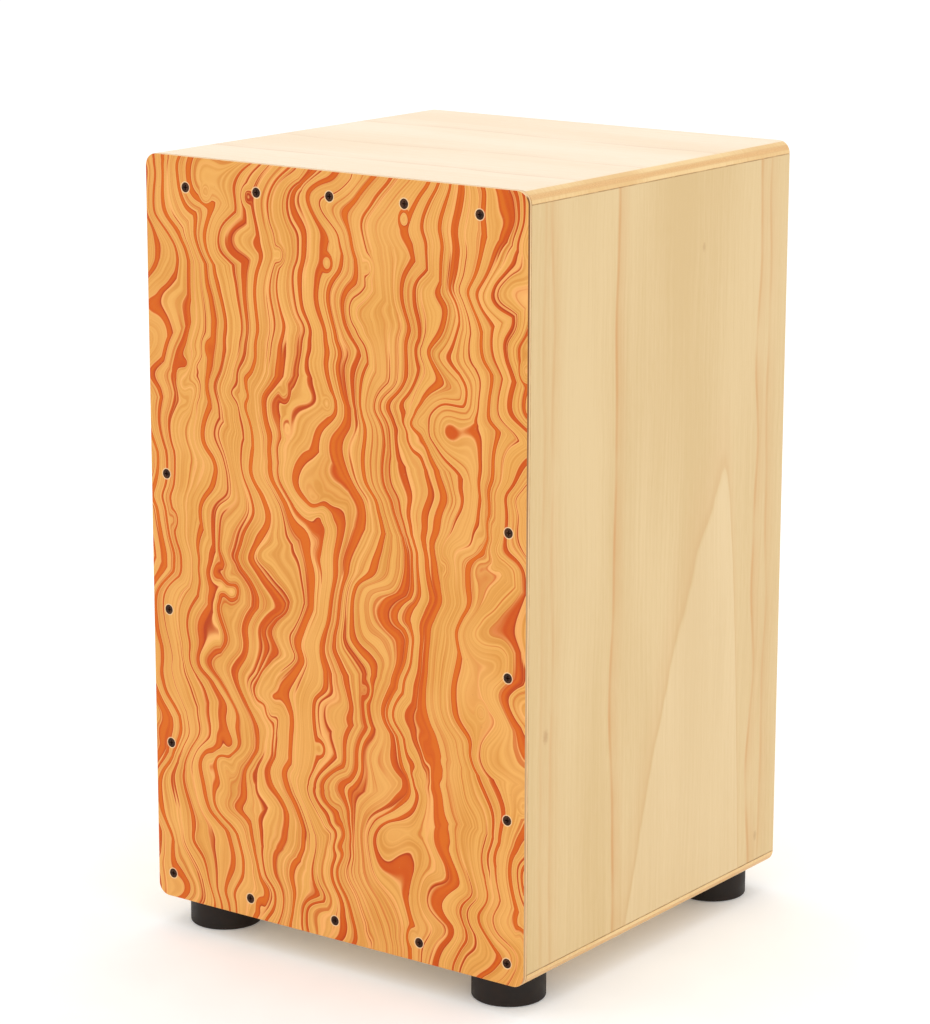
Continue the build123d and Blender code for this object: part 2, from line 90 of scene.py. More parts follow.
class Paint:
    """One material's node tree, in millimetres. An input is a number, a colour or a node's output."""

    def __init__(self, name):
        self.material = bpy.data.materials.new(name)
        self.material.use_nodes = True
        tree = self.material.node_tree
        self.nodes = tree.nodes
        self.links = tree.links
        self.shader = tree.nodes["Principled BSDF"]
        metres = self.node("ShaderNodeTexCoord").outputs["Object"]
        self.place = self.scaled(metres, 1000.0)
        self.x, self.y, self.z = self.split(self.place)
        self.axes = {"x": self.x, "y": self.y, "z": self.z}

    def put(self, socket, value):
        """Gives an input its value, or links it where the value is another node's output."""
        if isinstance(value, bpy.types.NodeSocket):
            self.links.new(value, socket)
        else:
            socket.default_value = value

    def node(self, kind, **settings):
        """A new node of this kind, with its settings."""
        made = self.nodes.new(kind)
        for name, value in settings.items():
            setattr(made, name, value)
        return made

    def split(self, vector):
        """The three parts of a vector or a colour."""
        made = self.node("ShaderNodeSeparateXYZ")
        self.put(made.inputs[0], vector)
        return made.outputs[0], made.outputs[1], made.outputs[2]

    def vector(self, x, y, z=0.0):
        """The vector with these parts."""
        made = self.node("ShaderNodeCombineXYZ")
        for socket, value in zip(made.inputs, (x, y, z)):
            self.put(socket, value)
        return made.outputs[0]

    def scaled(self, vector, factor):
        """The vector, this many times as long."""
        made = self.node("ShaderNodeVectorMath", operation="SCALE")
        self.put(made.inputs[0], vector)
        self.put(made.inputs["Scale"], factor)
        return made.outputs[0]

    def math(self, operation, *values):
        """The result of one of Blender's math operations."""
        made = self.node("ShaderNodeMath", operation=operation)
        for socket, value in zip(made.inputs, values):
            self.put(socket, value)
        return made.outputs[0]

    def add(self, *values):
        """The sum of all the values."""
        total = values[0]
        for value in values[1:]:
            total = self.math("ADD", total, value)
        return total

    def times(self, *values):
        """The product of all the values."""
        total = values[0]
        for value in values[1:]:
            total = self.math("MULTIPLY", total, value)
        return total

    def grain(self, *terms):
        """The place counted in grains. Each term is a coordinate and one grain's size along it."""
        return self.vector(*(self.times(value, 1 / size) for value, size in terms))

    def even_grain(self, size):
        """The place counted in grains of one size all ways."""
        return self.scaled(self.place, 1 / size)

    def distance(self, *terms):
        """The distance from a spot. Each term is a coordinate, the spot's place on it and its unit."""
        made = self.node("ShaderNodeVectorMath", operation="LENGTH")
        parts = [self.math("MULTIPLY_ADD", value, 1 / unit, -spot / unit) for value, spot, unit in terms]
        self.put(made.inputs[0], self.vector(*parts))
        return made.outputs["Value"]

    def noise(self, vector, detail=2.0, seed=0.0):
        """Smooth noise from about 0.25 to 0.75, with a grain of 1 in the vector's own units."""
        made = self.node("ShaderNodeTexNoise", noise_dimensions="4D")
        names = ("Vector", "W", "Scale", "Detail", "Roughness")
        for name, value in zip(names, (vector, seed, 1.0, detail, 0.5)):
            self.put(made.inputs[name], value)
        return made.outputs["Fac"]

    def swing(self, vector, reach, **settings):
        """Noise that swings about 0 by up to about the reach."""
        return self.times(self.add(self.noise(vector, **settings), -0.5), 3.2 * reach)

    def cells(self, vector):
        """Flat Voronoi cells with a grain of 1 in the vector's own units."""
        made = self.node("ShaderNodeTexVoronoi", voronoi_dimensions="2D")
        self.put(made.inputs["Vector"], vector)
        self.put(made.inputs["Scale"], 1.0)
        return made.outputs

    def step(self, value, low, high, start=0.0, end=1.0):
        """A smooth step from start to end as the value goes from low to high."""
        made = self.node("ShaderNodeMapRange", interpolation_type="SMOOTHSTEP")
        for socket, number in zip(made.inputs, (value, low, high, start, end)):
            self.put(socket, number)
        return made.outputs[0]

    def fade(self, value, low, high, start=1.0):
        """A smooth step down to 0 as the value goes from low to high."""
        return self.step(value, low, high, start, 0.0)

    def hump(self, value, rise, full, fall, gone):
        """A smooth step up to 1 between the first two numbers and down to 0 between the last two."""
        return self.times(self.step(value, rise, full), self.fade(value, fall, gone))

    def mix(self, share, first, second):
        """The first colour with this share of the second."""
        made = self.node("ShaderNodeMix", data_type="RGBA")
        self.put(made.inputs[0], share)
        self.put(made.inputs[6], first)
        self.put(made.inputs[7], second)
        return made.outputs[2]

    def finish(self, colour, rough, height=None, relief=0.02, **values):
        """Sets the shader. The height is in parts of the relief, which is in millimetres."""
        self.put(self.shader.inputs["Base Color"], colour)
        self.put(self.shader.inputs["Roughness"], rough)
        for name, value in values.items():
            self.put(self.shader.inputs[name.replace("_", " ")], value)
        if height is not None:
            bump = self.node("ShaderNodeBump")
            self.put(bump.inputs["Strength"], 1.0)
            self.put(bump.inputs["Distance"], relief / 1000)
            self.put(bump.inputs["Height"], height)
            self.put(self.shader.inputs["Normal"], bump.outputs[0])
        return self.material


# ---------------------------------------------------------------- plywood


# The lighter and the darker tone of a face veneer.
BIRCH = (rgb(223, 194, 142), rgb(213, 181, 125))
# The paler tone is the same birch painted lighter for the seat's top: painted light from above.
TOP_LIT_BIRCH = (rgb(248, 228, 199), rgb(242, 217, 182))

# Where two panels meet: an axis and the place on it.
SEAT_SEAM = ("z", SEAT_INSIDE)
BOTTOM_SEAM = ("z", BOTTOM_INSIDE)
PLATE_SEAM = ("y", PLATE_BACK)


def grain_colour(paint, across, along, pale, deep, seed):
    """Rotary-cut birch: broad soft shades, fine streaks and short pores. Returns colour and pores."""
    sway = paint.swing(paint.grain((across, 90), (along, 160)), 5.0, seed=seed + 4)
    across = paint.add(across, sway)
    broad = paint.noise(paint.grain((across, 60), (along, 300)), detail=1.0, seed=seed)
    streak = paint.noise(paint.grain((across, 2.2), (along, 120)), detail=2.0, seed=seed + 1)
    pores = paint.noise(paint.grain((across, 0.4), (along, 12)), detail=1.0, seed=seed + 2)
    shade = paint.add(paint.times(broad, 0.55), paint.times(streak, 0.28), paint.times(pores, 0.17))
    return paint.mix(paint.step(shade, 0.36, 0.64), pale, deep), pores


def darken_seams(paint, colour, seams):
    """Glue and painted shade in the fine grooves between panels, only just under the sides, top and bottom.
    """
    skin = 1.2
    half_height = BOX_TOP - BOX_MIDDLE
    sideways = paint.add(paint.math("ABSOLUTE", paint.x), skin - HALF_WIDTH)
    upright = paint.add(paint.math("ABSOLUTE", paint.add(paint.z, -BOX_MIDDLE)), skin - half_height)
    outside = paint.step(paint.math("MAXIMUM", sideways, upright), 0.0, 0.3)
    broken = paint.step(paint.noise(paint.even_grain(7), detail=3.0, seed=6.0), 0.35, 0.6, 0.2, 0.65)
    for axis, place in seams:
        gap = paint.math("ABSOLUTE", paint.add(paint.axes[axis], -place))
        share = paint.times(paint.fade(gap, 0.12, 0.5), broken, outside)
        # The seam colour is glue together with painted shade in the groove.
        colour = paint.mix(share, colour, rgb(172, 126, 76))
    return colour


def growth_line(paint, face, across, along, start, reach, strength, seed):
    """A thin brown growth line that wanders along the grain and fades away on one side."""
    drift = paint.swing(paint.vector(start, paint.times(along, 1 / 130)), reach, detail=1.0, seed=seed)
    away = paint.add(across, drift, -start)
    core = paint.hump(away, -1.8, 0.0, 0.3, 2.6)
    haze = paint.hump(away, -3.0, 0.5, 1.0, 15.0)
    broken = paint.noise(paint.vector(start, paint.times(along, 1 / 60)), detail=1.0, seed=seed + 3)
    line = paint.add(paint.times(core, 0.62), paint.times(haze, 0.38))
    share = paint.times(line, paint.step(broken, 0.2, 0.62), strength)
    return paint.mix(share, face, rgb(206, 148, 82))


def arch(paint, face, across, along, middle, top, seed):
    """A cathedral figure: one tall pointed arch, paler inside, with a brown outline that fades outwards."""
    ragged = paint.swing(paint.grain((across, 22), (along, 48)), 9.0, detail=2.0, seed=seed)
    side = paint.add(across, -middle)
    left = paint.math("MAXIMUM", paint.times(side, -1.0), 0.0)
    right = paint.math("MAXIMUM", side, 0.0)
    drop = paint.add(
        paint.times(left, left, 0.0125),
        paint.times(left, 1.2),
        paint.times(right, right, 0.40),
    )
    inside = paint.add(top, paint.times(along, -1.0), paint.times(drop, -1.0), ragged)
    outline = paint.hump(inside, -16.0, 0.0, 0.0, 3.5)
    haze = paint.hump(inside, -75.0, 0.0, 0.0, 3.0)
    face = paint.mix(paint.times(haze, 0.24), face, rgb(214, 170, 114))
    face = paint.mix(paint.times(outline, 0.26), face, rgb(204, 158, 100))
    paler = paint.times(paint.step(inside, 0.0, 10.0), 0.22)
    return paint.mix(paler, face, rgb(240, 216, 174))


def knot(paint, face, across, along, spot_across, spot_along, size, strength):
    """A small brown pin knot with a ragged edge, longer along the grain than across it."""
    away = paint.distance((across, spot_across, size), (along, spot_along, size / 0.6))
    ragged = paint.add(away, paint.swing(paint.even_grain(1.5), 0.25, detail=2.0))
    return paint.mix(paint.fade(ragged, 0.2, 1.1, strength), face, rgb(176, 126, 76))


def layers(paint, depth, across, along, thickness, seed):
    """The panel's edge: a ply of end grain between two of long grain, with dark glue lines."""
    warp = paint.swing(paint.grain((across, 35), (along, 35)), 0.14, seed=seed + 5)
    ply = paint.math("MULTIPLY_ADD", paint.add(depth, warp), 3 / thickness, -0.5)
    wave = paint.math("PINGPONG", ply, 1.0)
    long_grain, _ = grain_colour(paint, across, along, rgb(240, 206, 146), rgb(228, 186, 122), seed + 7)
    speck = paint.noise(paint.even_grain(0.6), detail=1.0, seed=seed + 9)
    end_grain = paint.mix(paint.step(speck, 0.35, 0.65), rgb(230, 184, 121), rgb(218, 169, 108))
    inner = paint.mix(paint.step(wave, 0.22, 0.78), long_grain, end_grain)
    glue = paint.fade(paint.math("ABSOLUTE", paint.add(wave, -0.5)), 0.0, 0.06, 0.22)
    return paint.mix(glue, inner, rgb(166, 114, 66))


def plywood(
    name, depth, across, along, seed, thickness=PANEL, tone=BIRCH, seams=(), arches=(), lines=(), knots=()
):
    """Birch plywood. The depth is an axis, a factor and an offset: the distance from one face."""
    paint = Paint(name)
    axis, factor, offset = depth
    depth = paint.math("MULTIPLY_ADD", paint.axes[axis], factor, offset)
    across = paint.axes[across]
    along = paint.axes[along]
    face, pores = grain_colour(paint, across, along, *tone, seed)
    for numbers in arches:
        face = arch(paint, face, across, along, *numbers, seed + 13)
    for index, numbers in enumerate(lines):
        face = growth_line(paint, face, across, along, *numbers, seed + 20 + index)
    for numbers in knots:
        face = knot(paint, face, across, along, *numbers)
    inner = layers(paint, depth, across, along, thickness, seed)
    far_side = paint.times(paint.math("SUBTRACT", thickness, depth), 30.0)
    veneer = paint.fade(paint.math("MINIMUM", depth, far_side), 0.45, 0.7)
    colour = darken_seams(paint, paint.mix(veneer, inner, face), seams)
    rough = paint.step(pores, 0.3, 0.7, 0.36, 0.48)
    return paint.finish(colour, rough, pores, 0.02, Specular_IOR_Level=0.5)


# ---------------------------------------------------------------- the striking plate


# The plate's screws, across the plate and up from the floor, in millimetres.
PLATE_SCREWS = (
    (-112, 481), (-56, 482.5), (0, 485), (55.5, 485.5), (110, 484),
    (-131.8, 35), (-67.5, 31.5), (0.5, 31.5), (66, 31.5), (131.8, 33),
    *((sign * 131.4, height) for _, sign in SIDES for height in (123, 211, 299)),
)

# The plate is paler in a thin ring round each screw, and back to normal between these distances from its
# middle.
SCREW_RIM = (3.55, 3.85)

# Where the burl curls up into eyes and flames, placed in the same way as the screws.
CURLS = (
    (62, 350), (-9, 284), (-110, 362), (-70, 352), (-88, 118),
    (116, 286), (68, 148), (-52, 160), (4, 92), (-84, 238),
)
CURL_WIDTH = 15
CURL_HEIGHT = 28

# The burl's grains in millimetres, and the seed that all its noise starts from.
BAND_WIDTH = 5.6
BAND_LENGTH = 420
HAIR_WIDTH = 3.0
STRIPE_WIDTH = 1.3
STRIPE_LENGTH = 160
BURL_SEED = 40.0

# The burl's colours.
GOLD = rgb(234, 171, 87)
OCHRE = rgb(215, 143, 61)
STRAW = rgb(243, 181, 103)
CREAM = rgb(252, 184, 110)
ORANGE = rgb(202, 79, 4)
BRIGHT_ORANGE = rgb(215, 106, 16)
CLOUDED_ORANGE = rgb(217, 103, 16)
HAIR_ORANGE = rgb(202, 84, 10)
RED_BROWN = rgb(174, 54, 4)


def burl_noise(paint, seed, detail, *terms):
    """Noise in the burl. Each term is a coordinate and one grain's size along it."""
    return paint.noise(paint.grain(*terms), detail=detail, seed=BURL_SEED + seed)


def burl_swing(paint, seed, reach, *terms):
    """Smooth bends in the burl, in millimetres to either side. The terms are as in burl_noise."""
    return paint.swing(paint.grain(*terms), reach, detail=0.0, seed=BURL_SEED + seed)


def curling(paint):
    """1 in the middle of a curl and 0 away from them all. Curls that overlap add up."""
    total = 0.0
    for curl_x, curl_z in CURLS:
        away = paint.distance((paint.x, curl_x, CURL_WIDTH), (paint.z, curl_z, CURL_HEIGHT))
        total = paint.add(total, paint.fade(away, 0.2, 1.1))
    return total


def eyes(paint):
    """A sideways shift of a few spots, one way or the other, which closes the bands round them."""
    cell = paint.cells(paint.grain((paint.x, 30), (paint.z, 44)))
    inside = paint.fade(cell["Distance"], 0.03, 0.2)
    pick, shift, _ = paint.split(cell["Color"])
    chosen = paint.step(pick, 0.66, 0.7)
    return paint.times(inside, chosen, paint.add(paint.times(shift, 16.0), -8.0))


def burl_flow(paint):
    """The burl's own coordinates: across it with the long bends, then with them all, and along it."""
    x, z = paint.x, paint.z
    along = paint.add(z, burl_swing(paint, 6.0, 6.0, (x, 40), (z, 30)))
    lazy = burl_swing(paint, 20.0, 19.0, (x, 66), (along, 78))
    short = burl_swing(paint, 21.0, 7.0, (x, 40), (along, 38))
    across = paint.math("SUBTRACT", x, paint.add(lazy, short))
    near = burl_swing(paint, 4.7, 7.5, (x, 48), (along, 27))
    fine = burl_swing(paint, 9.1, 6.0, (x, 13), (along, 14))
    fold = burl_noise(paint, 2.2, 0.0, (x, 60), (z, 46))
    crease = paint.math("ABSOLUTE", paint.add(fold, -0.5))
    bent = paint.add(
        across,
        near,
        paint.times(paint.add(curling(paint), 0.12), fine),
        paint.times(crease, 24.0),
        eyes(paint),
    )
    return across, bent, along


def burl_colour(paint):
    """Pale striped wood under orange bands and hairs. A band is sharp and dark on one side only."""
    across, bent, along = burl_flow(paint)

    def bands(ahead):
        bands_across = paint.math("MULTIPLY_ADD", bent, 1 / BAND_WIDTH, ahead)
        place = paint.vector(bands_across, paint.times(along, 1 / BAND_LENGTH))
        return paint.noise(place, detail=1.2, seed=BURL_SEED + 3.0)

    band = bands(0.0)
    falling = paint.step(paint.math("SUBTRACT", band, bands(0.07)), -0.004, 0.008)
    flame = paint.step(burl_noise(paint, 7.0, 0.0, (bent, 15), (paint.z, 70)), 0.52, 0.75)
    calm = paint.step(burl_noise(paint, 15.0, 1.0, (across, 34), (paint.z, 95)), 0.47, 0.6)
    band = paint.add(band, paint.times(flame, 0.045), paint.times(calm, -0.022))

    stripes = burl_noise(paint, 12.0, 2.0, (bent, STRIPE_WIDTH), (along, STRIPE_LENGTH))
    cloud = burl_noise(paint, 13.0, 1.0, (paint.x, 30), (paint.z, 55))
    halo = paint.hump(band, 0.505, 0.535, 0.545, 0.555)
    plain = paint.mix(paint.step(stripes, 0.34, 0.66), GOLD, OCHRE)
    plain = paint.mix(paint.step(cloud, 0.35, 0.7, 0.0, 0.4), plain, STRAW)
    colour = paint.mix(paint.times(halo, 0.65), plain, CREAM)

    thin = burl_noise(paint, 5.0, 1.0, (bent, HAIR_WIDTH), (along, BAND_LENGTH))
    hair = paint.times(
        paint.step(thin, 0.575, 0.6),
        paint.step(thin, 0.61, 0.66, 1.0, 0.35),
        paint.math("MULTIPLY_ADD", calm, -0.75, 1.0),
    )
    colour = paint.mix(paint.times(hair, 0.68), colour, HAIR_ORANGE)

    sharp = paint.times(falling, paint.step(band, 0.541, 0.557))
    soft = paint.times(paint.math("SUBTRACT", 1.0, falling), paint.step(band, 0.519, 0.579))
    orange = paint.mix(paint.step(band, 0.58, 0.67), ORANGE, BRIGHT_ORANGE)
    orange = paint.mix(paint.step(cloud, 0.4, 0.65, 0.0, 0.5), orange, CLOUDED_ORANGE)
    colour = paint.mix(paint.add(sharp, soft), colour, orange)
    rim = paint.hump(band, 0.543, 0.556, 0.564, 0.586)
    return paint.mix(paint.times(rim, falling, 0.8), colour, RED_BROWN)


def plate_skin(paint):
    """The plate's face: the burl, paler in a thin ring round each screw, and fine flecks."""
    rim = 0.0
    for spot_x, spot_z in PLATE_SCREWS:
        away = paint.distance((paint.x, spot_x, 1.0), (paint.z, spot_z, 1.0))
        rim = paint.math("MAXIMUM", rim, paint.fade(away, *SCREW_RIM))
    figure = paint.mix(paint.times(rim, 0.75), burl_colour(paint), rgb(244, 208, 164))
    speck = paint.noise(paint.grain((paint.x, 1.1), (paint.z, 1.9)), detail=0.0, seed=3.0)
    fleck = paint.times(paint.step(speck, 0.79, 0.84), 0.5)
    return paint.mix(fleck, figure, rgb(196, 130, 70))


def plate_material():
    """Burl veneer on thin plywood: the edge has a darker middle layer, and beside it the side edges are
    darker brown, more strongly towards the top.
    """
    paint = Paint("burl_plate")
    wood, fibre = grain_colour(paint, paint.x, paint.z, rgb(240, 208, 160), rgb(230, 190, 138), 51.0)
    depth = paint.add(paint.y, -PLATE_FRONT)
    middle = paint.hump(depth, 1.1, 1.25, 2.3, 2.45)
    wood = paint.mix(paint.times(middle, 0.4), wood, rgb(216, 168, 112))
    # Darker brown on the plate's side edges just behind its face, stronger towards the top.
    dark_side_band = paint.times(
        paint.step(paint.math("ABSOLUTE", paint.x), HALF_WIDTH - 2.5, HALF_WIDTH - 1.0),
        paint.hump(depth, 0.2, 0.45, 1.7, 2.2),
        paint.step(paint.z, 180.0, 420.0, 0.45, 1.0),
    )
    wood = paint.mix(dark_side_band, wood, rgb(124, 70, 18))
    skin = paint.fade(depth, 0.25, 0.4)
    colour = darken_seams(paint, paint.mix(skin, wood, plate_skin(paint)), (PLATE_SEAM,))
    rough = paint.step(fibre, 0.3, 0.7, 0.36, 0.46)
    return paint.finish(colour, rough, fibre, 0.015, Specular_IOR_Level=0.2)


# ---------------------------------------------------------------- solid wood, rubber and metal


def pine(name, along, seed):
    """A sawn batten: growth rings round a pith outside the section, seen as stripes along its sides."""
    paint = Paint(name)
    axes = dict(paint.axes)
    length = axes.pop(along)
    first, second = axes.values()
    sway = paint.swing(paint.vector(paint.times(length, 1 / 150), seed), 4.0, detail=1.0, seed=seed)
    ripple = paint.swing(paint.vector(paint.times(length, 1 / 40), seed), 0.8, detail=2.0, seed=seed + 1)
    from_pith = paint.distance((paint.add(first, sway), -31.0, 1.0), (paint.add(second, ripple), 23.0, 1.0))
    ring = paint.math("FRACT", paint.times(from_pith, 1 / 2.6))
    late = paint.hump(ring, 0.35, 0.9, 0.93, 1.0)
    fibre = paint.noise(paint.grain((first, 0.5), (second, 0.5), (length, 16)), detail=2.0, seed=seed + 2)
    colour = paint.mix(paint.times(late, 0.75), rgb(238, 210, 156), rgb(206, 150, 86))
    colour = paint.mix(paint.step(fibre, 0.4, 0.7, 0.0, 0.35), colour, rgb(198, 150, 96))
    rough = paint.step(fibre, 0.3, 0.7, 0.55, 0.7)
    return paint.finish(colour, rough, fibre, 0.05, Specular_IOR_Level=0.3)


def beech():
    """The tuner rail: pinkish brown, with beech's short dark rays along x."""
    paint = Paint("beech_rail")
    fleck = paint.noise(
        paint.grain((paint.x, 3.2), (paint.y, 0.45), (paint.z, 0.45)), detail=0.0, seed=3.0
    )
    broad = paint.noise(paint.grain((paint.x, 90), (paint.y, 6), (paint.z, 6)), detail=2.0, seed=5.0)
    colour = paint.mix(paint.step(broad, 0.35, 0.65), rgb(228, 188, 144), rgb(210, 162, 116))
    colour = paint.mix(paint.step(fleck, 0.62, 0.72, 0.0, 0.7), colour, rgb(172, 116, 74))
    rough = paint.step(broad, 0.3, 0.7, 0.5, 0.62)
    return paint.finish(colour, rough, fleck, 0.03, Specular_IOR_Level=0.35)


def rubber():
    """The feet: black rubber with a faint bloom, and dust in the lowest two millimetres."""
    paint = Paint("foot_rubber")
    skin = paint.noise(paint.even_grain(0.7), detail=3.0, seed=1.0)
    bloom = paint.noise(paint.even_grain(9), detail=3.0, seed=2.0)
    colour = paint.mix(paint.step(bloom, 0.4, 0.72), rgb(26, 17, 11), rgb(38, 27, 20))
    dust = paint.times(paint.fade(paint.z, 0.0, 2.2), paint.step(skin, 0.45, 0.65), 0.5)
    colour = paint.mix(dust, colour, rgb(84, 70, 57))
    rough = paint.step(bloom, 0.3, 0.7, 0.5, 0.68)
    return paint.finish(colour, rough, skin, 0.05, Specular_IOR_Level=0.3)


def metal(name, base, tarnish, rough, seed, metallic=1.0, specular=0.5):
    """Plated, painted or bare metal: a fine even grain and soft blotches of tarnish."""
    paint = Paint(name)
    grit = paint.noise(paint.even_grain(0.25), detail=2.0, seed=seed)
    blotch = paint.noise(paint.even_grain(3.5), detail=3.0, seed=seed + 1)
    colour = paint.mix(paint.step(blotch, 0.42, 0.68), base, tarnish)
    colour = paint.mix(paint.step(grit, 0.3, 0.7, 0.0, 0.2), colour, tarnish)
    worn = paint.add(
        paint.step(blotch, 0.3, 0.7, rough - 0.06, rough + 0.08),
        paint.step(grit, 0.3, 0.7, 0.0, 0.06),
    )
    return paint.finish(colour, worn, grit, 0.008, Metallic=metallic, Specular_IOR_Level=specular)


# ---------------------------------------------------------------- which node has which material


def give(material, *names):
    """Puts the material on every slot of the CAD nodes with these names."""
    for name in names:
        for slot in nodes[name].material_slots:
            slot.material = material


# What each panel's face shows. An arch has its middle and its top, a growth line its place, how far
# it wanders and its strength, and a knot its place across and along the grain, size and strength.
SEAT_FIGURE = {"lines": ((-88, 9, 0.35), (-20, 12, 0.25), (64, 8, 0.3))}
BOTTOM_FIGURE = {"lines": ((-60, 9, 0.6), (35, 12, 0.5), (96, 8, 0.6)), "knots": ((20, -70, 4.0, 0.6),)}
RIGHT_FIGURE = {
    "arches": ((73, 300),),
    "lines": ((-52, 6, 0.85), (110, 9, 0.7), (124, 7, 0.5), (-118, 6, 0.4), (-128, 5, 0.3)),
    "knots": ((44, 445, 2.2, 0.35), (-123, 172, 3.4, 0.5), (120, 44, 2.6, 0.4)),
}
LEFT_FIGURE = {
    "arches": ((-20, 205),),
    "lines": ((-98, 8, 0.8), (-70, 9, 0.5), (36, 10, 0.7), (121, 6, 0.6)),
    "knots": ((88, 330, 3.0, 0.5),),
}
BACK_FIGURE = {
    "arches": ((84, 420),),
    "lines": ((-96, 9, 0.7), (-30, 12, 0.4), (47, 10, 0.7), (112, 7, 0.5)),
    "knots": ((-70, 120, 3.2, 0.5),),
}


def paint_panels():
    """The striking plate and the five plywood panels."""
    give(plate_material(), "striking_plate")
    # The seat has the same birch as the other panels, painted paler on top as painted light from above.
    seat = plywood(
        "seat_plywood", ("z", -1.0, BOX_TOP), "y", "x", 1.0,
        tone=TOP_LIT_BIRCH, seams=(SEAT_SEAM, PLATE_SEAM), **SEAT_FIGURE,
    )
    bottom = plywood(
        "bottom_plywood", ("z", 1.0, -BOX_BOTTOM), "y", "x", 11.0,
        seams=(BOTTOM_SEAM, PLATE_SEAM), **BOTTOM_FIGURE,
    )
    side_seams = (SEAT_SEAM, BOTTOM_SEAM, PLATE_SEAM)
    right = plywood(
        "right_plywood", ("x", -1.0, HALF_WIDTH), "y", "z", 21.0, seams=side_seams, **RIGHT_FIGURE
    )
    left = plywood(
        "left_plywood", ("x", 1.0, HALF_WIDTH), "y", "z", 33.0, seams=side_seams, **LEFT_FIGURE
    )
    back = plywood(
        "back_plywood", ("y", -1.0, BACK_OUTSIDE), "x", "z", 41.0,
        thickness=BACK_OUTSIDE - BACK_INSIDE, **BACK_FIGURE,
    )
    give(seat, "seat_panel")
    give(bottom, "bottom_panel")
    give(right, "right_side_panel")
    give(left, "left_side_panel")
    give(back, "back_panel")


def paint_small_parts():
    """The battens and rails inside, the feet and all the small metal parts."""
    across = pine("pine_across", "x", 3.0)
    upright = pine("pine_upright", "z", 5.0)
    deep = pine("pine_deep", "y", 7.0)
    give(across, *(f"{place}_batten_{end}" for place in FRONT_BACK for end in TOP_BOTTOM))
    give(upright, *(f"{place}_batten_{side}" for place in FRONT_BACK for side in LEFT_RIGHT))
    give(deep, *(f"corner_rail_{end}_{side}" for end in TOP_BOTTOM for side in LEFT_RIGHT))
    give(beech(), "tuner_rail")
    give(rubber(), *(f"foot_{end}_{side}" for end in ("front", "rear") for side in LEFT_RIGHT))
    black = metal(
        "black_screw", rgb(44, 22, 10), rgb(76, 44, 24), 0.42, 2.0, metallic=0.0, specular=0.18
    )
    give(black, *(f"plate_screws_{row}" for row in TOP_BOTTOM + LEFT_RIGHT))
    zinc = metal("zinc_steel", rgb(212, 214, 216), rgb(184, 186, 186), 0.3, 4.0)
    give(zinc, "foot_screws", "foot_washers", "anchor_screws")
    tuning_parts = ("lock_nut", "guide_pin", "snare_carriage", "snare_anchor")
    for side in LEFT_RIGHT:
        give(zinc, *(f"{part}_{side}" for part in tuning_parts))
        brass = metal(f"bush_brass_{side}", rgb(214, 176, 100), rgb(160, 118, 62), 0.32, 6.0)
        give(brass, f"tuner_bush_{side}")


# ---------------------------------------------------------------- detailed metal pieces


# The snare wires in metres: where their ends are, and the coil between the two hooks.
STRANDS = 4
STRAND_Y = -0.13975
CARRIAGE_HOLES_X = 0.048
CARRIAGE_HOLES_Z = 0.078
CARRIAGE_SPACING = 0.006
ANCHOR_HOLES_X = 0.064
ANCHOR_HOLES_Z = 0.464
ANCHOR_SPACING = 0.024
WIRE_RADIUS = 0.00022
COIL_RADIUS = 0.00075
COIL_PITCH = 0.0011
COIL_STEPS = 9
# The coil starts this far from the hole, and the hook's points are in y and outwards from the coil.
HOOK_REACH = 0.0025
HOOK = ((-0.00085, 0.0036), (0.0004, 0.0036), (0.00098, 0.0031), (0.00104, 0.0012), (0.0007, -0.0009))

# The tuner bolts in millimetres. Each is an M6 cap screw that stands on its head.
HEAD_RADIUS = 5.0
HEAD_HEIGHT = 6.0
THREAD_START = 47.0
THREAD_STOP = 86.5
BOLT_RADIUS = 3.0
TIP_RADIUS = 2.3
SOCKET_DEPTH = 3.0
SOCKET_RADIUS = 2.5
THREAD_DEPTH = 0.38
PITCH = 1.0


def make_object(name, vertices, faces, material, smooth=True):
    """A mesh object with one material, linked into the scene."""
    mesh = bpy.data.meshes.new(name)
    mesh.from_pydata(vertices, [], faces)
    mesh.validate()
    mesh.polygons.foreach_set("use_smooth", [smooth] * len(mesh.polygons))
    mesh.materials.append(material)
    made = bpy.data.objects.new(name, mesh)
    scene.collection.objects.link(made)
    return made


def ring_faces(rings, sides):
    """The faces of a tube whose vertices come ring by ring, with both ends closed."""
    faces = []
    for ring in range(rings - 1):
        low = ring * sides
        high = low + sides
        for step in range(sides):
            after = (step + 1) % sides
            faces.append((low + step, low + after, high + after, high + step))
    last = (rings - 1) * sides
    faces.append(tuple(reversed(range(sides))))
    faces.append(tuple(range(last, last + sides)))
    return faces


def tube(path, radius, sides):
    """The vertices, ring by ring, of a round wire along a path of points."""
    vertices = []
    across = Vector((1, 0, 0))
    for index, point in enumerate(path):
        ahead = path[min(index + 1, len(path) - 1)] - path[max(index - 1, 0)]
        ahead.normalize()
        across = (across - ahead * across.dot(ahead)).normalized()
        other = ahead.cross(across)
        for step in range(sides):
            angle = 2 * math.pi * step / sides
            vertices.append(point + radius * (math.cos(angle) * across + math.sin(angle) * other))
    return vertices


def strand_path(low, high):
    """One snare wire: a close coil between a hook in the carriage's lug and a hook in the anchor's."""
    begin = low + Vector((0, 0, HOOK_REACH))
    axis = high - Vector((0, 0, HOOK_REACH)) - begin
    steps = int(axis.length / COIL_PITCH) * COIL_STEPS
    first = axis.normalized().cross(Vector((0, 1, 0))).normalized()
    second = axis.normalized().cross(first)
    path = [low + Vector((0, y, -outwards)) for y, outwards in HOOK]
    for step in range(steps + 1):
        angle = 2 * math.pi * step / COIL_STEPS
        grow = min(1.0, step / COIL_STEPS, (steps - step) / COIL_STEPS)
        radius = COIL_RADIUS * (0.35 + 0.65 * grow)
        out = radius * (math.cos(angle) * first + math.sin(angle) * second)
        path.append(begin + axis * step / steps + out)
    path += [high + Vector((0, y, outwards)) for y, outwards in reversed(HOOK)]
    return path


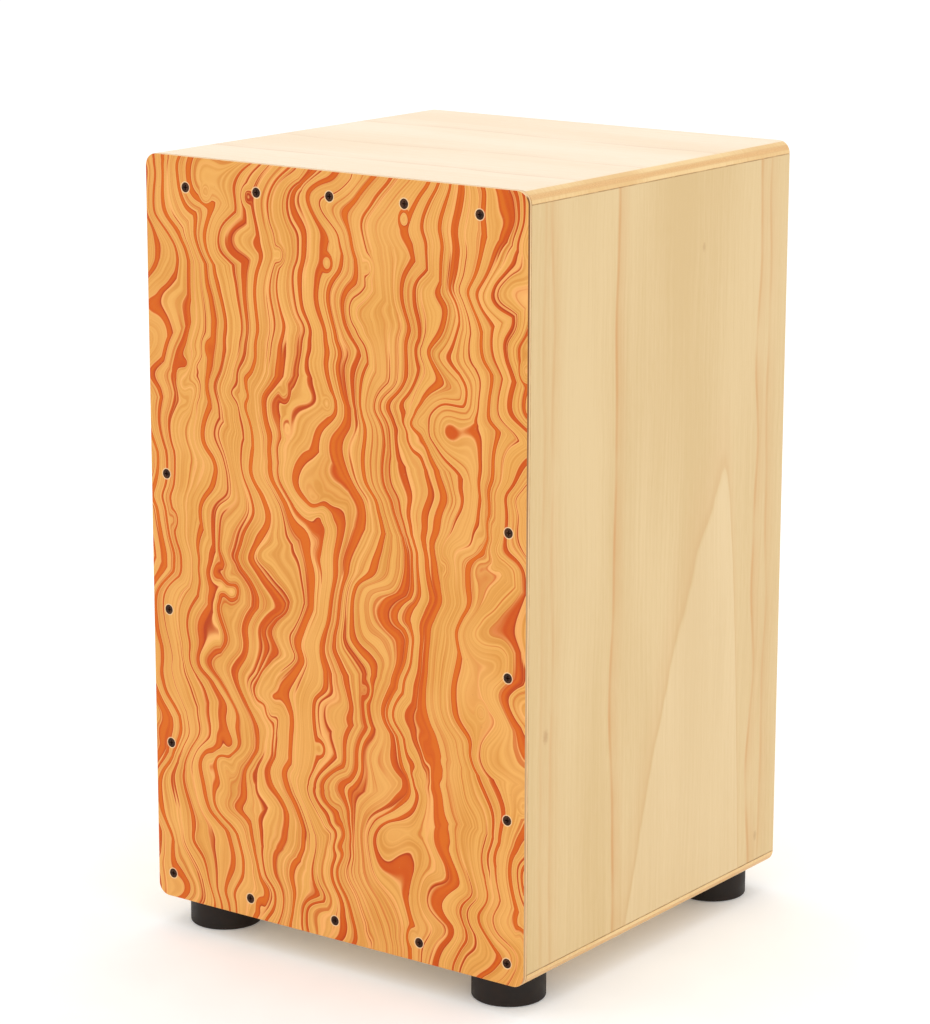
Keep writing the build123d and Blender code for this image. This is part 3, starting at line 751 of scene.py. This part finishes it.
def snare_strands(side, sign, material):
    """Four coiled wires that fan out from the carriage to the anchor and stretch between them."""
    sides = 5
    vertices = []
    faces = []
    for index in range(STRANDS):
        place = index - (STRANDS - 1) / 2
        low_x = sign * CARRIAGE_HOLES_X + place * CARRIAGE_SPACING
        high_x = sign * ANCHOR_HOLES_X + place * ANCHOR_SPACING
        low = Vector((low_x, STRAND_Y, CARRIAGE_HOLES_Z))
        high = Vector((high_x, STRAND_Y, ANCHOR_HOLES_Z))
        path = strand_path(low, high)
        start = len(vertices)
        vertices += tube(path, WIRE_RADIUS, sides)
        faces += [tuple(start + corner for corner in face) for face in ring_faces(len(path), sides)]
    made = make_object(f"snare_coils_{side}", vertices, faces, material)
    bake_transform(made)
    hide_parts(f"snare_strands_{side}")


def threaded_bolt(side, material):
    """A cap screw with a hex socket below and an M6 thread, one millimetre to the turn, right-handed."""
    sides = 36
    angles = [2 * math.pi * step / sides for step in range(sides)]
    node = f"tuner_bolt_{side}"
    middle_x = sum(span(node, "x")) / 2
    middle_y = sum(span(node, "y")) / 2
    bottom, top = span(node, "z")
    head_top = bottom + HEAD_HEIGHT
    vertices = []

    def ring(height, radius_at):
        for angle in angles:
            radius = radius_at(angle)
            x = middle_x + radius * math.cos(angle)
            y = middle_y + radius * math.sin(angle)
            vertices.append(Vector((x / 1000, y / 1000, height / 1000)))

    def circle(radius):
        return lambda angle: radius

    def hexagon(angle):
        return SOCKET_RADIUS / math.cos(angle % (math.pi / 3) - math.pi / 6)

    def thread(height):
        ease = min(1.0, (height - THREAD_START) / PITCH)

        def radius_at(angle):
            phase = (height / PITCH - angle / (2 * math.pi)) % 1.0
            groove = max(0.0, 1 - abs(phase - 0.5) / 0.42)
            return BOLT_RADIUS - THREAD_DEPTH * groove * ease

        return radius_at

    closed = circle(0.02)
    ring(bottom + SOCKET_DEPTH, closed)
    ring(bottom + SOCKET_DEPTH, hexagon)
    ring(bottom + 0.3, hexagon)
    ring(bottom, lambda angle: hexagon(angle) + 0.3)
    rounding = 0.5
    rounding_steps = 4
    for part in range(rounding_steps + 1):
        turn = math.pi / 2 * part / rounding_steps
        height = bottom + rounding * (1 - math.cos(turn))
        ring(height, circle(HEAD_RADIUS - rounding * (1 - math.sin(turn))))
    ring(head_top - 0.3, circle(HEAD_RADIUS))
    ring(head_top, circle(HEAD_RADIUS - 0.2))
    ring(head_top, circle(BOLT_RADIUS))
    ring(THREAD_START, circle(BOLT_RADIUS))
    rings_per_turn = 8
    for part in range(1, int((THREAD_STOP - THREAD_START) * rings_per_turn) + 1):
        height = THREAD_START + part / rings_per_turn
        ring(height, thread(height))
    ring(top, circle(TIP_RADIUS))
    ring(top, closed)
    faces = ring_faces(len(vertices) // sides, sides)
    made = make_object(f"threaded_bolt_{side}", vertices, faces, material, smooth=False)
    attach(made, f"tuner_{side}")
    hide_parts(f"tuner_bolt_{side}")


# ---------------------------------------------------------------- camera, light and floor


def make_camera():
    """The photograph's own view, found from the box's edges and the rows of screws."""
    data = bpy.data.cameras.new("camera")
    data.lens = 120.0
    data.sensor_width = 36.0
    camera = bpy.data.objects.new("camera", data)
    scene.collection.objects.link(camera)
    azimuth, elevation, roll = math.radians(36.0742), math.radians(13.4007), math.radians(0.13214)
    back = Vector((
        math.sin(azimuth) * math.cos(elevation),
        -math.cos(azimuth) * math.cos(elevation),
        math.sin(elevation),
    ))
    level = (-back).cross(Vector((0, 0, 1))).normalized()
    upright = level.cross(-back)
    right = math.cos(roll) * level + math.sin(roll) * upright
    up = -math.sin(roll) * level + math.cos(roll) * upright
    # How far the camera is from the middle of the box, in box heights.
    away, aside, above = 4.5454227, -0.0087459, 0.0119367
    box_height = (BOX_TOP - BOX_BOTTOM) / 1000
    place = box_height * (back * away + right * aside + up * above)
    place += Vector((0, 0, BOX_MIDDLE / 1000))
    camera.matrix_world = Matrix.Translation(place) @ Matrix((right, up, back)).transposed().to_4x4()
    scene.camera = camera


def area_light(name, place, size, power):
    """A square soft light that looks at the middle of the drum."""
    data = bpy.data.lights.new(name, "AREA")
    data.shape = "SQUARE"
    data.size = size
    data.energy = power
    light = bpy.data.objects.new(name, data)
    light.location = place
    aim = Vector((0, 0, BOX_TOP / 2 / 1000)) - Vector(place)
    light.rotation_euler = aim.to_track_quat("-Z", "Y").to_euler()
    scene.collection.objects.link(light)


def make_lights():
    """A white room with three faint soft lights."""
    scene.view_settings.view_transform = "Standard"
    world = bpy.data.worlds.new("studio")
    world.use_nodes = True
    background = world.node_tree.nodes["Background"]
    background.inputs["Color"].default_value = (1, 1, 1, 1)
    background.inputs["Strength"].default_value = 1.0
    scene.world = world
    area_light("key", (-1.8, -2.6, 2.4), 2.0, 3)
    area_light("fill", (2.8, -1.0, 1.4), 2.0, 3)
    area_light("top", (0.0, 0.4, 3.0), 2.0, 9)


def make_floor():
    """A wide white floor just under the feet, with a faint mottle and a faint glow of its own."""
    half = 8.0
    low = -0.0002
    corners = [(-half, -half, low), (half, -half, low), (half, half, low), (-half, half, low)]
    paint = Paint("studio_floor")
    mottle = paint.noise(paint.even_grain(40), detail=3.0, seed=2.0)
    colour = paint.mix(paint.step(mottle, 0.3, 0.7), rgb(250, 250, 249), rgb(253, 253, 252))
    white = paint.finish(
        colour, 0.9, Specular_IOR_Level=0.0, Emission_Color=(1, 1, 1, 1), Emission_Strength=0.12
    )
    floor = make_object("floor", corners, [(0, 1, 2, 3)], white, smooth=False)


paint_panels()
paint_small_parts()
wire_metal = metal("snare_wire", rgb(202, 200, 196), rgb(150, 146, 140), 0.26, 8.0)
bolt_metal = metal("black_bolt", rgb(58, 55, 53), rgb(34, 31, 30), 0.36, 9.0, metallic=0.7)
for side, sign in SIDES:
    snare_strands(side, sign, wire_metal)
    threaded_bolt(side, bolt_metal)
make_camera()
make_lights()
make_floor()
